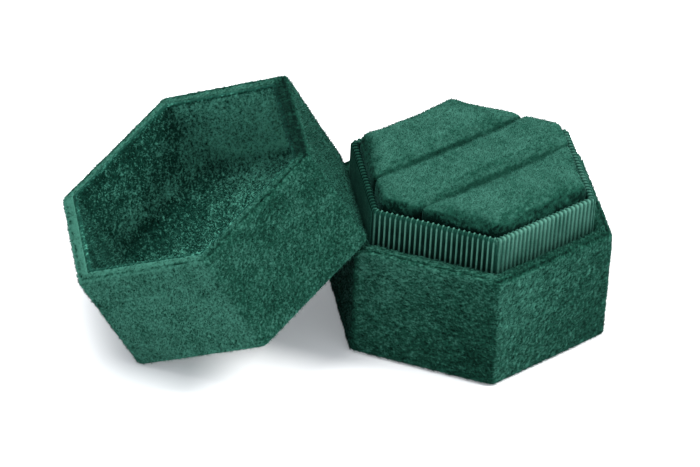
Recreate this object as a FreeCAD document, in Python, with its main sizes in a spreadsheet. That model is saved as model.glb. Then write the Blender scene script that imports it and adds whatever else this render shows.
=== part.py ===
import FreeCAD, Part
import math
import os
import Sketcher

os.makedirs("parts", exist_ok=True)
doc = FreeCAD.newDocument("RingBox")

# A hexagonal ring box: a lower shell with a ribbed collar and three cushions,
# and a lift-off lid that lies tipped against the lower shell's left rim.
# X runs across two flats, Z is up, and the origin is under the middle of the
# lower shell. All lengths are in millimetres and angles in degrees.

sheet = doc.addObject("Spreadsheet::Sheet", "Sizes")
sizes = [
    # overall
    ("acrossFlats", "47.6", "whole width over two opposite velvet faces"),
    ("baseHeight", "22.5", "lower shell, floor to rim"),
    ("lidHeight", "22.5", "lid, rim to closed top"),
    ("collarRise", "6.8", "collar above the lower shell's rim"),
    # thicknesses
    ("pile", "0.7", "outer velvet with its backing"),
    ("wallBoard", "1.6", "rigid wall of both shells"),
    ("floorBoard", "1.6", "floor of the lower shell"),
    ("topBoard", "1.6", "closed top of the lid"),
    ("collarBoard", "0.6", "stiff card of the collar"),
    ("ribFabric", "0.4", "ribbed fabric on the collar"),
    ("liningPile", "0.6", "velvet lining of the lid's walls"),
    ("ceilingPile", "0.7", "velvet lining under the lid's top"),
    ("ceilingCard", "0.8", "card behind the ceiling lining"),
    ("insertCard", "0.8", "card under the three cushions"),
    ("coverPile", "0.8", "velvet cover of a cushion"),
    # roundings
    ("cornerRound", "1.6", "upright corners of the outer velvet"),
    ("rimRound", "0.9", "outer edge of both rims"),
    ("edgeRound", "1.2", "edge of the lid's top and of the base's underside"),
    ("collarCorner", "1.2", "upright corners of the collar's fabric"),
    ("collarRound", "0.6", "top edges of the collar's fabric"),
    ("padCorner", "1.8", "upright corners of a cushion"),
    ("padRound", "1.8", "top edge of a cushion"),
    # laps
    ("tuckDepth", "6", "velvet turned down inside the lower shell"),
    ("turnIn", "5", "velvet turned in under the base and over the lid's top"),
    ("ribDepth", "18", "ribbed fabric, down both faces of the collar"),
    # cushions and slots
    ("slotOffset", "6.1", "middle of a ring slot from the middle of the box"),
    ("slotWidth", "0.8", "ring slot between two cushions"),
    ("padProud", "2.7", "cushions above the collar's top"),
    # clearances
    ("collarGap", "0.2", "collar to the velvet turned down beside it"),
    ("lidGap", "0.3", "lid lining to the collar it slides over"),
    ("boardGap", "0.1", "a plate to the walls it drops into"),
    ("padGap", "0.2", "cushions to the collar's inner fabric"),
    ("leanGap", "0.3", "tipped lid to the rim it leans on"),
    ("restGap", "0.63", "tipped lid's upper edge to the collar behind it"),
    # what follows from them
    ("outerFlat", "=acrossFlats / 2", "middle to an outer velvet face"),
    ("boardOuter", "=outerFlat - pile", ""),
    ("boardInner", "=boardOuter - wallBoard", ""),
    ("liningInner", "=boardInner - liningPile", ""),
    ("ribOuter", "=liningInner - lidGap", ""),
    ("tuckInner", "=ribOuter + collarGap", ""),
    ("cardOuter", "=ribOuter - ribFabric", ""),
    ("cardInner", "=cardOuter - collarBoard", ""),
    ("ribInner", "=cardInner - ribFabric", ""),
    ("floorFlat", "=boardInner - boardGap", ""),
    ("windowFlat", "=outerFlat - turnIn", ""),
    ("panelFlat", "=windowFlat - boardGap", ""),
    ("ceilingFlat", "=liningInner - boardGap", ""),
    ("insertFlat", "=cardInner - padGap", ""),
    ("floorTop", "=pile + floorBoard", ""),
    ("insertTop", "=floorTop + insertCard", ""),
    ("collarTop", "=baseHeight + collarRise", ""),
    ("padTop", "=collarTop + padProud", ""),
    ("foamTop", "=padTop - coverPile", ""),
    ("topBoardUnder", "=lidHeight - pile - topBoard", ""),
    ("ceilingCardUnder", "=topBoardUnder - ceilingCard", ""),
    ("ceilingUnder", "=ceilingCardUnder - ceilingPile", ""),
    ("padFlat", "=ribInner - padGap", ""),
    ("slotNear", "=slotOffset - slotWidth / 2", ""),
    ("slotFar", "=slotOffset + slotWidth / 2", ""),
    ("padFarHalf", "=padFlat / sqrt(3)", ""),
    ("padSlotHalf", "=(2 * padFlat - slotFar) / sqrt(3)", ""),
    ("bandTip", "=2 * padFlat / sqrt(3)", ""),
    ("bandHalf", "=(2 * padFlat - slotNear) / sqrt(3)", ""),
    ("foamFlat", "=padFlat - coverPile", ""),
    ("foamSlotFar", "=slotFar + coverPile", ""),
    ("foamSlotNear", "=slotNear - coverPile", ""),
    ("foamFarHalf", "=foamFlat / sqrt(3)", ""),
    ("foamSlotHalf", "=(2 * foamFlat - foamSlotFar) / sqrt(3)", ""),
    ("foamBandTip", "=2 * foamFlat / sqrt(3)", ""),
    ("foamBandHalf", "=(2 * foamFlat - foamSlotNear) / sqrt(3)", ""),
    # tilt of the lid that lies against the rim, closing in on the angle at which
    # its floor edge, the rim and the gap to the collar all agree
    ("notch", "=outerFlat - rimRound - ribOuter - restGap", ""),
    ("leanFirst", "=asin(baseHeight / (2 * outerFlat)) / 1 deg", ""),
    ("leanSecond", "=asin((baseHeight - rimRound - edgeRound + edgeRound * cos(leanFirst) + notch * tan(leanFirst)"
             " + (rimRound + leanGap) / cos(leanFirst)) / (2 * outerFlat - edgeRound)) / 1 deg", ""),
    ("leanThird", "=asin((baseHeight - rimRound - edgeRound + edgeRound * cos(leanSecond) + notch * tan(leanSecond)"
             " + (rimRound + leanGap) / cos(leanSecond)) / (2 * outerFlat - edgeRound)) / 1 deg", ""),
    ("leanFourth", "=asin((baseHeight - rimRound - edgeRound + edgeRound * cos(leanThird) + notch * tan(leanThird)"
             " + (rimRound + leanGap) / cos(leanThird)) / (2 * outerFlat - edgeRound)) / 1 deg", ""),
    ("leanAngle", "=asin((baseHeight - rimRound - edgeRound + edgeRound * cos(leanFourth) + notch * tan(leanFourth)"
             " + (rimRound + leanGap) / cos(leanFourth)) / (2 * outerFlat - edgeRound)) / 1 deg", ""),
    ("lidZ", "=(outerFlat - edgeRound) * sin(leanAngle)"
             " + (lidHeight - edgeRound) * cos(leanAngle) + edgeRound", ""),
    ("lidX", "=(lidZ * cos(leanAngle) - (outerFlat - rimRound) * sin(leanAngle)"
             " - (baseHeight - rimRound) * cos(leanAngle)"
             " - lidHeight - rimRound - leanGap) / sin(leanAngle)", ""),
]
for row, (alias, text, note) in enumerate(sizes, 1):
    sheet.set(f"A{row}", alias)
    sheet.set(f"B{row}", text)
    sheet.set(f"C{row}", note)
    sheet.setAlias(f"B{row}", alias)
doc.recompute()

factors = {"": 1.0, " / sqrt(3)": 1 / math.sqrt(3), " * 2 / sqrt(3)": 2 / math.sqrt(3)}


def size(alias):
    return float(sheet.get(alias))


def hexagon(flat):
    """Corners of a hexagon whose flats face left and right, as terms of one size."""
    side, tip = " / sqrt(3)", " * 2 / sqrt(3)"
    return [
        ((flat, 1, ""), (flat, -1, side)),
        ((flat, 1, ""), (flat, 1, side)),
        (None, (flat, 1, tip)),
        ((flat, -1, ""), (flat, 1, side)),
        ((flat, -1, ""), (flat, -1, side)),
        (None, (flat, -1, tip)),
    ]


def amount(term):
    return 0.0 if term is None else size(term[0]) * term[1] * factors[term[2]]


def draw(sketch, tag, points):
    """A closed loop of straight lines, each corner tied to the sheet."""
    first = sketch.GeometryCount
    spots = [FreeCAD.Vector(amount(px), amount(py), 0) for px, py in points]
    count = len(points)
    for i in range(count):
        sketch.addGeometry(Part.LineSegment(spots[i], spots[(i + 1) % count]), False)
    for i in range(count):
        sketch.addConstraint(Sketcher.Constraint("Coincident", first + i, 2, first + (i + 1) % count, 1))
    for i, (px, py) in enumerate(points):
        for axis, term, line in (("X", px, -2), ("Y", py, -1)):
            if term is None:
                sketch.addConstraint(Sketcher.Constraint("PointOnObject", first + i, 1, line))
                continue
            index = sketch.addConstraint(
                Sketcher.Constraint("Distance" + axis, -1, 1, first + i, 1, amount(term)))
            name = f"{tag}{axis}{i}"
            sketch.renameConstraint(index, name)
            sign = "-" if term[1] < 0 else ""
            sketch.setExpression(f"Constraints.{name}", f"{sign}Sizes.{term[0]}{term[2]}")


def newBody(label):
    body = doc.addObject("PartDesign::Body", "Body_" + label)
    body.Label = label
    return body


def rise(body, name, loops, bottom, height):
    """Pads the area between the loops, from one level up by a height."""
    sketch = body.newObject("Sketcher::SketchObject", name + "Sketch")
    plane = [f for f in body.Origin.OriginFeatures if f.Role == "XY_Plane"][0]
    sketch.AttachmentSupport = (plane, [""])
    sketch.MapMode = "FlatFace"
    if bottom:
        sketch.setExpression("AttachmentOffset.Base.z", bottom)
    for tag, points in zip(("outer", "inner"), loops):
        draw(sketch, tag, points)
    pad = body.newObject("PartDesign::Pad", name)
    pad.Profile = sketch
    pad.setExpression("Length", height)
    sketch.Visibility = False
    doc.recompute()
    return pad


def roundOff(body, name, radius, pick):
    """Rounds the edges of the body so far that pick(edge) accepts."""
    tip = body.Tip
    names = [f"Edge{i}" for i, edge in enumerate(tip.Shape.Edges, 1) if pick(edge)]
    if not names:
        raise RuntimeError(f"{body.Label}: no edge found for {name}")
    fillet = body.newObject("PartDesign::Fillet", name)
    fillet.Base = (tip, names)
    fillet.setExpression("Radius", radius)
    doc.recompute()
    return fillet


def reach(point):
    """How far a point lies out from the middle, square to the nearest flat."""
    return max(abs(point.x), abs(point.x / 2 + point.y * math.sqrt(3) / 2),
               abs(point.x / 2 - point.y * math.sqrt(3) / 2))


def uprightAt(flat):
    """Upright edges on the corners of a hexagon of this size."""
    corner = size(flat) * 2 / math.sqrt(3)

    def pick(edge):
        a, b = edge.Vertexes[0].Point, edge.Vertexes[-1].Point
        if abs(a.x - b.x) + abs(a.y - b.y) > 1e-4 or abs(a.z - b.z) < 1e-3:
            return False
        return abs(math.hypot(a.x, a.y) - corner) < 1e-3
    return pick


def levelAt(height, flat, slack):
    """Level edges at a height that follow a hexagon of this size, within the slack."""
    z, side = size(height) if height else 0.0, size(flat)

    def pick(edge):
        spots = edge.discretize(3)
        return all(abs(p.z - z) < 1e-4 and abs(reach(p) - side) < slack for p in spots)
    return pick


def anyUpright(edge):
    a, b = edge.Vertexes[0].Point, edge.Vertexes[-1].Point
    return abs(a.x - b.x) + abs(a.y - b.y) < 1e-4 and abs(a.z - b.z) > 1e-3


def tube(label, outer, inner, bottom, height):
    body = newBody(label)
    rise(body, label + "Wall", [hexagon(outer), hexagon(inner)], bottom, height)
    return body


def plate(label, flat, bottom, height):
    body = newBody(label)
    rise(body, label + "Plate", [hexagon(flat)], bottom, height)
    return body


# ---- lower shell ----
wallBoardBase = tube("base_wall_board", "boardOuter", "boardInner",
                     "Sizes.pile", "Sizes.baseHeight - 2 * Sizes.pile")
floorBoardBase = plate("base_floor_board", "floorFlat", "Sizes.pile", "Sizes.floorBoard")

# the velvet goes under the floor's edge, up the walls, over the rim and down inside
wrap = newBody("base_velvet_wrap")
rise(wrap, "baseWrapSkirt", [hexagon("outerFlat"), hexagon("boardOuter")], "", "Sizes.baseHeight")
rise(wrap, "baseWrapRim", [hexagon("outerFlat"), hexagon("tuckInner")],
     "Sizes.baseHeight - Sizes.pile", "Sizes.pile")
rise(wrap, "baseWrapTuck", [hexagon("boardInner"), hexagon("tuckInner")],
     "Sizes.baseHeight - Sizes.tuckDepth", "Sizes.tuckDepth")
rise(wrap, "baseWrapTurn", [hexagon("outerFlat"), hexagon("windowFlat")], "", "Sizes.pile")
roundOff(wrap, "baseWrapCorners", "Sizes.cornerRound", uprightAt("outerFlat"))
slack = size("cornerRound") * 0.2
roundOff(wrap, "baseWrapRimEdge", "Sizes.rimRound", levelAt("baseHeight", "outerFlat", slack))
roundOff(wrap, "baseWrapFootEdge", "Sizes.edgeRound", levelAt("", "outerFlat", slack))
bottomCover = plate("base_bottom_cover", "panelFlat", "", "Sizes.pile")

# ---- collar ----
collarCard = tube("collar_board", "cardOuter", "cardInner", "Sizes.floorTop",
                  "Sizes.collarTop - Sizes.ribFabric - Sizes.floorTop")
ribbed = newBody("collar_ribbed_fabric")
rise(ribbed, "ribbedOuter", [hexagon("ribOuter"), hexagon("cardOuter")],
     "Sizes.collarTop - Sizes.ribDepth", "Sizes.ribDepth")
rise(ribbed, "ribbedTop", [hexagon("ribOuter"), hexagon("ribInner")],
     "Sizes.collarTop - Sizes.ribFabric", "Sizes.ribFabric")
rise(ribbed, "ribbedInner", [hexagon("cardInner"), hexagon("ribInner")],
     "Sizes.collarTop - Sizes.ribDepth", "Sizes.ribDepth")
roundOff(ribbed, "ribbedCorners", "Sizes.collarCorner", uprightAt("ribOuter"))
slack = size("collarCorner") * 0.2
roundOff(ribbed, "ribbedOuterEdge", "Sizes.collarRound", levelAt("collarTop", "ribOuter", slack))
roundOff(ribbed, "ribbedInnerEdge", "Sizes.collarRound", levelAt("collarTop", "ribInner", 1e-3))

# ---- insert: one card and three cushions, with a ring slot between each two ----
insertPlate = plate("insert_card", "insertFlat", "Sizes.floorTop", "Sizes.insertCard")


def endPad(flat, farHalf, slot, slotHalf, side):
    """A cushion between a slot and a flat; side is 1 at the rear and -1 at the front."""
    return [((farHalf, -1, ""), (flat, side, "")), ((farHalf, 1, ""), (flat, side, "")),
            ((slotHalf, 1, ""), (slot, side, "")), ((slotHalf, -1, ""), (slot, side, ""))]


def bandPad(tip, slot, half):
    return [((tip, 1, ""), None), ((half, 1, ""), (slot, 1, "")), ((half, -1, ""), (slot, 1, "")),
            ((tip, -1, ""), None), ((half, -1, ""), (slot, -1, "")), ((half, 1, ""), (slot, -1, ""))]


def cushion(name, coverLoop, foamLoop):
    """A foam core, and a velvet cover over its sides and top. The slots run at
    30 degrees to X, so both are drawn along X and turned."""
    solids = []
    for label, loop, top, corner, edge in (
            (name + "_pad_form", coverLoop, "padTop", "Sizes.padCorner", "Sizes.padRound"),
            (name + "_pad_foam", foamLoop, "foamTop", "Sizes.padCorner - Sizes.coverPile",
             "Sizes.padRound - Sizes.coverPile")):
        body = newBody(label)
        rise(body, label + "Block", [loop], "Sizes.insertTop", f"Sizes.{top} - Sizes.insertTop")
        roundOff(body, label + "Corners", corner, anyUpright)
        roundOff(body, label + "Edge", edge,
                 lambda e, z=size(top): all(abs(p.z - z) < 1e-4 for p in e.discretize(3)))
        body.Placement = FreeCAD.Placement(FreeCAD.Vector(0, 0, 0),
                                           FreeCAD.Rotation(FreeCAD.Vector(0, 0, 1), 30))
        solids.append(body)
    cover = doc.addObject("Part::Cut", "Cut_" + name)
    cover.Label = name + "_pad_velvet"
    cover.Base, cover.Tool = solids
    doc.recompute()
    return solids[1], cover


cushions = []
cushions += cushion("rear", endPad("padFlat", "padFarHalf", "slotFar", "padSlotHalf", 1),
                    endPad("foamFlat", "foamFarHalf", "foamSlotFar", "foamSlotHalf", 1))
cushions += cushion("middle", bandPad("bandTip", "slotNear", "bandHalf"),
                    bandPad("foamBandTip", "foamSlotNear", "foamBandHalf"))
cushions += cushion("front", endPad("padFlat", "padFarHalf", "slotFar", "padSlotHalf", -1),
                    endPad("foamFlat", "foamFarHalf", "foamSlotFar", "foamSlotHalf", -1))

# ---- lid, drawn the right way up with its rim at Z 0, then tipped ----
lidWallBoard = tube("lid_wall_board", "boardOuter", "boardInner",
                    "Sizes.pile", "Sizes.lidHeight - 2 * Sizes.pile")
lidTopBoard = plate("lid_top_board", "floorFlat", "Sizes.topBoardUnder", "Sizes.topBoard")
lidWrap = newBody("lid_velvet_wrap")
rise(lidWrap, "lidWrapSkirt", [hexagon("outerFlat"), hexagon("boardOuter")], "", "Sizes.lidHeight")
rise(lidWrap, "lidWrapRim", [hexagon("outerFlat"), hexagon("boardInner")], "", "Sizes.pile")
rise(lidWrap, "lidWrapTurn", [hexagon("outerFlat"), hexagon("windowFlat")],
     "Sizes.lidHeight - Sizes.pile", "Sizes.pile")
roundOff(lidWrap, "lidWrapCorners", "Sizes.cornerRound", uprightAt("outerFlat"))
slack = size("cornerRound") * 0.2
roundOff(lidWrap, "lidWrapRimEdge", "Sizes.rimRound", levelAt("", "outerFlat", slack))
roundOff(lidWrap, "lidWrapTopEdge", "Sizes.edgeRound", levelAt("lidHeight", "outerFlat", slack))
lidTopVelvet = plate("lid_top_velvet", "panelFlat", "Sizes.lidHeight - Sizes.pile", "Sizes.pile")
lidLining = tube("lid_wall_lining", "boardInner", "liningInner", "", "Sizes.topBoardUnder")
lidCard = plate("lid_ceiling_card", "ceilingFlat", "Sizes.ceilingCardUnder", "Sizes.ceilingCard")
lidCeiling = plate("lid_ceiling_lining", "ceilingFlat", "Sizes.ceilingUnder", "Sizes.ceilingPile")

lidPieces = [lidWallBoard, lidTopBoard, lidWrap, lidTopVelvet, lidLining, lidCard, lidCeiling]
for piece in lidPieces:
    piece.Placement = FreeCAD.Placement(
        FreeCAD.Vector(0, 0, 0), FreeCAD.Rotation(FreeCAD.Vector(0, 1, 0), 180 - size("leanAngle")))
    piece.setExpression("Placement.Base.x", "Sizes.lidX")
    piece.setExpression("Placement.Base.z", "Sizes.lidZ")
    piece.setExpression("Placement.Rotation.Angle", "180 - Sizes.leanAngle")

doc.recompute()

nodes = [wallBoardBase, floorBoardBase, wrap, bottomCover, collarCard, ribbed, insertPlate]
nodes += cushions + lidPieces
for thing in doc.Objects:
    if "Invalid" in thing.State or "Error" in thing.State:
        raise RuntimeError(f"{thing.Label} did not compute: {thing.State}")
for node in nodes:
    shape = node.Shape
    if shape.isNull() or not shape.isValid() or len(shape.Solids) != 1:
        raise RuntimeError(f"{node.Label} has no valid single solid")
    shape.exportStep(f"parts/{node.Label}.step")
    box = shape.BoundBox
    print(f"{node.Label}: {shape.Volume:.1f} mm3, x {box.XMin:.2f} {box.XMax:.2f}, "
          f"y {box.YMin:.2f} {box.YMax:.2f}, z {box.ZMin:.2f} {box.ZMax:.2f}")
print(f"lid at x {size('lidX'):.5f}, z {size('lidZ'):.5f}, tilt {size('leanAngle'):.5f}")
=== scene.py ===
import bpy
import bmesh
import math
from mathutils import Matrix, Quaternion, Vector, noise


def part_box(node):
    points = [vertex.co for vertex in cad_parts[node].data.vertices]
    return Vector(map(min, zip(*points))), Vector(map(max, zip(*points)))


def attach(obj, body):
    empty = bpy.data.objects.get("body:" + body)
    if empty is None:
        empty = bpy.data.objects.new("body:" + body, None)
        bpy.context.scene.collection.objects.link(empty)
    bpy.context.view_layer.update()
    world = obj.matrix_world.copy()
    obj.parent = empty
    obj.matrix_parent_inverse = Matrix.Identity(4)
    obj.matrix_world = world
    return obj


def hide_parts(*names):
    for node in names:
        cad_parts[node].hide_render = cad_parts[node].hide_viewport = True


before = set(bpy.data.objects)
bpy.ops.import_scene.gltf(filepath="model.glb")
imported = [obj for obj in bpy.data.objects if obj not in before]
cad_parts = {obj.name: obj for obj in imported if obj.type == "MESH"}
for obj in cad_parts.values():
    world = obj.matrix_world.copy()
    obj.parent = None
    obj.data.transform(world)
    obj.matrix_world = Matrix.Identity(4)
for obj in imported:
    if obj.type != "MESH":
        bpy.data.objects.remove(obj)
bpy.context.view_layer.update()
mm = 0.001
noise.seed_set(3)                    # without it the brushing of the pile changes from run to run
print("frame loaded")

# The box is worked out in millimetres, right way up, and placed in metres at the end of each piece.
boxSizes = {
    "outer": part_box("base_velvet_wrap")[1][0] / mm,       # middle to a velvet face of the shell
    "rim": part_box("base_velvet_wrap")[1][2] / mm,         # rim of the shell
    "collarOuter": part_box("collar_ribbed_fabric")[1][0] / mm,
    "collarTop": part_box("collar_ribbed_fabric")[1][2] / mm,
    "collarFoot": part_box("collar_ribbed_fabric")[0][2] / mm,
    "padFoot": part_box("middle_pad_velvet")[0][2] / mm,
    "padTop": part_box("middle_pad_velvet")[1][2] / mm,
    "padFlat": -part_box("middle_pad_velvet")[0][0] / mm,
    "boardOuter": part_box("base_wall_board")[1][0] / mm,
    "lidHeight": 22.5,
    "wallBoard": 1.6,                                     # rigid wall of both shells
}
lidPose = {"tilt": 149.10106, "x": -53.20653, "z": 31.08266}   # the lid's rim plane, as it lies
lidPlace = (Matrix.Translation((lidPose["x"] * mm, 0, lidPose["z"] * mm))
            @ Matrix.Rotation(math.radians(lidPose["tilt"]), 4, "Y"))


def hexRing(flat, corner, perSide, perCorner):
    # points round a hexagon with rounded corners, its first side facing +X
    corner = max(min(corner, flat * 0.9), 0.001)
    half = flat / math.sqrt(3) - corner * math.tan(math.radians(30))
    ring = []
    for face in range(6):
        turn = math.radians(60 * face)
        out = Vector((math.cos(turn), math.sin(turn)))
        along = Vector((-out.y, out.x))
        for i in range(perSide):
            ring.append(out * flat + along * half * (2 * i / perSide - 1))
        middle = out * (flat - corner) + along * half
        for i in range(perCorner):
            bend = turn + math.radians(60) * i / perCorner
            ring.append(middle + Vector((math.cos(bend), math.sin(bend))) * corner)
    return ring


def traceProfile(corners, closed=True):
    # corners are (flat, z, radius, step): each corner is rounded, and step is the spacing after it
    count = len(corners)
    path = []
    for i, (flat, z, radius, step) in enumerate(corners):
        here = Vector((flat, z))
        before = Vector(corners[i - 1][:2]) if closed or i else None
        after = Vector(corners[(i + 1) % count][:2]) if closed or i < count - 1 else None
        if radius and before is not None and after is not None:
            a, b = (before - here).normalized(), (after - here).normalized()
            half = a.angle(b) / 2
            cut = radius / math.tan(half)
            centre = here + (a + b).normalized() * (radius / math.sin(half))
            first, last = here + a * cut, here + b * cut
            steps = max(3, int(radius * (math.pi - 2 * half) / min(step, corners[i - 1][3]) + 0.5))
            u, v = first - centre, last - centre
            angle = u.angle(v)
            for k in range(steps + 1):
                t = k / steps
                arc = (u * math.sin((1 - t) * angle) + v * math.sin(t * angle)) / math.sin(angle)
                path.append(centre + arc)
            start = last
        else:
            path.append(here)
            start = here
        if after is None:
            break
        radiusNext = corners[(i + 1) % count][2]
        end = after
        if radiusNext and (closed or i + 1 < count - 1):
            beyond = Vector(corners[(i + 2) % count][:2])
            back, on = (here - after).normalized(), (beyond - after).normalized()
            end = after + back * (radiusNext / math.tan(back.angle(on) / 2))
        run = (end - start).length
        pieces = max(1, int(run / step + 0.5))
        for k in range(1, pieces + (0 if radiusNext and (closed or i + 1 < count - 1) else 0)):
            path.append(start.lerp(end, k / pieces))
    return path


def clamp(value):
    return min(max(value, 0.0), 1.0)


def layeredNoise(point, layers=2):
    # each layer is half as strong as the one before and about twice as fine
    total, gain, size = 0.0, 1.0, 1.0
    for _ in range(layers):
        total += noise.noise(point * size) * gain
        gain *= 0.5
        size *= 2.03
    return total


def sweepHexagon(name, profile, cornerAt, perSide, perCorner, capped=False):
    # carries the profile round, and gives the mesh, the points in a ring and how far along each ring lies
    rings = [hexRing(p.x, cornerAt(p.x), perSide, perCorner) for p in profile]
    around = len(rings[0])
    verts, faces = [], []
    for p, ring in zip(profile, rings):
        verts += [(q.x, q.y, p.y) for q in ring]
    rows = len(profile)
    for r in range(rows if not capped else rows - 1):
        nextRow = (r + 1) % rows
        for k in range(around):
            m = (k + 1) % around
            faces.append((r * around + k, r * around + m, nextRow * around + m, nextRow * around + k))
    if capped:                       # both ends of the profile lie on the middle line
        for r, flip in ((0, True), (rows - 1, False)):
            verts.append((0, 0, profile[r].y))
            hub = len(verts) - 1
            for k in range(around):
                m = (k + 1) % around
                faces.append((r * around + m, r * around + k, hub) if flip
                             else (r * around + k, r * around + m, hub))
    mesh = bpy.data.meshes.new(name)
    mesh.from_pydata(verts, [], faces)
    mesh.update()
    work = bmesh.new()
    work.from_mesh(mesh)
    if work.calc_volume(signed=True) < 0:
        bmesh.ops.reverse_faces(work, faces=work.faces[:])
    work.to_mesh(mesh)
    work.free()
    mesh.update()
    lengths = [0.0]
    for r in range(1, rows):
        lengths.append(lengths[-1] + (profile[r] - profile[r - 1]).length)
    return mesh, around, lengths


tuftRules = {
    "uprightLong": 1.4, "uprightHigh": 0.8, "uprightPull": 2,   # tufts that are brushed up a wall
    "warpSize": 0.37, "warp": 1.4,                              # how the rows of tufts wander
    "lay": 1.6,                                                 # shared out between comb and swirl
}


def raisePile(mesh, around, lengths, settings, lift):
    # moves each point along its normal by tufts that lie along the wall, and stores the painted light and
    # shade with its random mottle, how much pile stands there and which way it is brushed
    spots = [v.co.copy() for v in mesh.vertices]
    normals = [v.normal.copy() for v in mesh.vertices]
    ring, brushed = settings["girth"] / math.tau, settings["brushed"]
    nap, standing, comb = [], [], []
    for i, (co, normal) in enumerate(zip(spots, normals)):
        row, k = divmod(i, around)
        long, high = settings["tuftLong"], settings["tuftHigh"]
        along = Vector((-co.y, co.x, 0)).normalized() if co.xy.length > 0.5 else Vector((0, 1, 0))
        if faceOf(co) in settings.get("upright", ()):
            long, high = high * tuftRules["uprightLong"], long * tuftRules["uprightHigh"]
            along = (along + Vector((0, 0, tuftRules["uprightPull"]))).normalized()
        swirl = noise.noise_vector(co / settings["swirl"])
        lay = along * brushed + swirl * (tuftRules["lay"] - brushed)
        comb += (lay - normal * lay.dot(normal))[:]
        if row >= len(lengths):                   # the middle point of a cap
            nap.append(settings["hub"])
            standing.append(1.0)
            continue
        angle = k / around * math.tau
        east, north = math.cos(angle) * ring / long, math.sin(angle) * ring / long
        wrapped = Vector((east, north, lengths[row] / high))
        warp = noise.noise(wrapped * tuftRules["warpSize"]) * tuftRules["warp"]
        tuft = layeredNoise(wrapped + Vector((0, 0, warp)))
        soft = noise.noise(co / settings["swell"])
        amount, bright = lift(co, normal)
        rise = tuft * settings["tuftRise"] + soft * settings["swellRise"]
        mesh.vertices[i].co = co + normal * amount * rise
        nap.append(bright + tuft * settings["tuftShade"] + soft * settings["swellShade"])
        standing.append(min(amount, 1.0))
    storePile(mesh, nap, standing, comb)


def storePile(mesh, nap, standing, comb):
    mesh.attributes.new("nap", "FLOAT", "POINT").data.foreach_set("value", nap)
    mesh.attributes.new("standing", "FLOAT", "POINT").data.foreach_set("value", standing)
    mesh.attributes.new("comb", "FLOAT_VECTOR", "POINT").data.foreach_set("vector", comb)


def addObject(name, data):
    made = bpy.data.objects.new(name, data)
    bpy.context.collection.objects.link(made)
    return made


def settledMesh(thing):
    # a plain mesh of the object as its modifiers leave it
    return bpy.data.meshes.new_from_object(thing.evaluated_get(bpy.context.evaluated_depsgraph_get()))


def placeMesh(mesh, place=None):
    # from millimetres, right way up, to metres where the piece lies
    mesh.transform(Matrix.Scale(mm, 4))
    if place is not None:
        mesh.transform(place)
    mesh.polygons.foreach_set("use_smooth", [True] * len(mesh.polygons))
    mesh.update()
    return addObject(mesh.name, mesh)


def faceOf(co):
    # which of the six walls a point belongs to, 0 facing +X and then anticlockwise
    return round(math.degrees(math.atan2(co.y, co.x)) / 60) % 6


def alongWall(co):
    # from -1 at the start of a wall to 1 at its end, anticlockwise
    bearing = math.degrees(math.atan2(co.y, co.x)) / 60
    return 2 * (bearing - round(bearing))


def blendFaces(co, perFace, soft=1.2):
    # the wall's own value, mixed near a corner with its neighbour's over a few millimetres
    wallWidth = 27
    bearing = math.degrees(math.atan2(co.y, co.x)) / 60
    face = round(bearing)
    offset = bearing - face                      # -0.5 to 0.5 across the wall
    fromCorner = (0.5 - abs(offset)) * wallWidth
    mixIn = max(0.0, 0.5 - fromCorner / (2 * soft))
    neighbour = face + (1 if offset > 0 else -1)
    return perFace[face % 6] * (1 - mixIn) + perFace[neighbour % 6] * mixIn


def node(tree, kind, **values):
    # small-letter values are the node's own settings, and capitalised ones are its inputs,
    # each given as a value or as the output that feeds it
    made = tree.nodes.new(kind)
    for key, value in values.items():
        if key.islower():
            setattr(made, key, value)
        elif isinstance(value, bpy.types.NodeSocket):
            tree.links.new(value, made.inputs[key.replace("_", " ")])
        else:
            made.inputs[key.replace("_", " ")].default_value = value
    return made


def calculate(tree, operation, *values, kind="ShaderNodeMath"):
    # one sum, whose parts are outputs of other nodes or plain numbers
    made = node(tree, kind, operation=operation)
    for place, value in enumerate(values):
        if isinstance(value, bpy.types.NodeSocket):
            tree.links.new(value, made.inputs[place])
        else:
            made.inputs[place].default_value = value
    return made.outputs[0]


def newMaterial(name):
    made = bpy.data.materials.new(name)
    made.use_nodes = True
    made.node_tree.nodes.clear()
    return made, made.node_tree


def mixTones(tree, mask, tones):
    # from the first tone to the last as the mask goes from 0 to 1
    ramp = node(tree, "ShaderNodeValToRGB", Fac=mask)
    ramp.color_ramp.elements[0].color = (*tones[0], 1)
    ramp.color_ramp.elements[1].color = (*tones[-1], 1)
    if len(tones) == 3:
        ramp.color_ramp.elements.new(0.5).color = (*tones[1], 1)
    return ramp.outputs["Color"]


def makeShadeMaskGroup():
    tree = bpy.data.node_groups.new("velvetNap", "ShaderNodeTree")
    for socket, value in (("Grain", 2600.0), ("Patch", 260.0), ("Spread", 0.5)):
        made = tree.interface.new_socket(name=socket, in_out="INPUT", socket_type="NodeSocketFloat")
        made.default_value = value
    for socket in ("Mask", "Height"):
        tree.interface.new_socket(name=socket, in_out="OUTPUT", socket_type="NodeSocketFloat")
    given, out = node(tree, "NodeGroupInput"), node(tree, "NodeGroupOutput")
    coords = node(tree, "ShaderNodeTexCoord").outputs["Object"]
    grain = node(tree, "ShaderNodeTexNoise", Vector=coords, Scale=given.outputs["Grain"], Detail=3.0)
    patch = node(tree, "ShaderNodeTexNoise", Vector=coords, Scale=given.outputs["Patch"], Detail=2.0)
    # the mask mixes the painted light and shade stored on each point with fine grain and broad random
    # patches
    nap = node(tree, "ShaderNodeAttribute", attribute_name="nap")
    patchShare = 0.35
    fine = calculate(tree, "SUBTRACT", grain.outputs["Fac"], 0.5)
    fine = calculate(tree, "MULTIPLY_ADD", fine, given.outputs["Spread"], nap.outputs["Fac"])
    broad = calculate(tree, "SUBTRACT", patch.outputs["Fac"], 0.5)
    both = calculate(tree, "MULTIPLY_ADD", broad, patchShare, fine)
    tree.links.new(both, out.inputs["Mask"])
    tree.links.new(grain.outputs["Fac"], out.inputs["Height"])
    return tree


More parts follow.
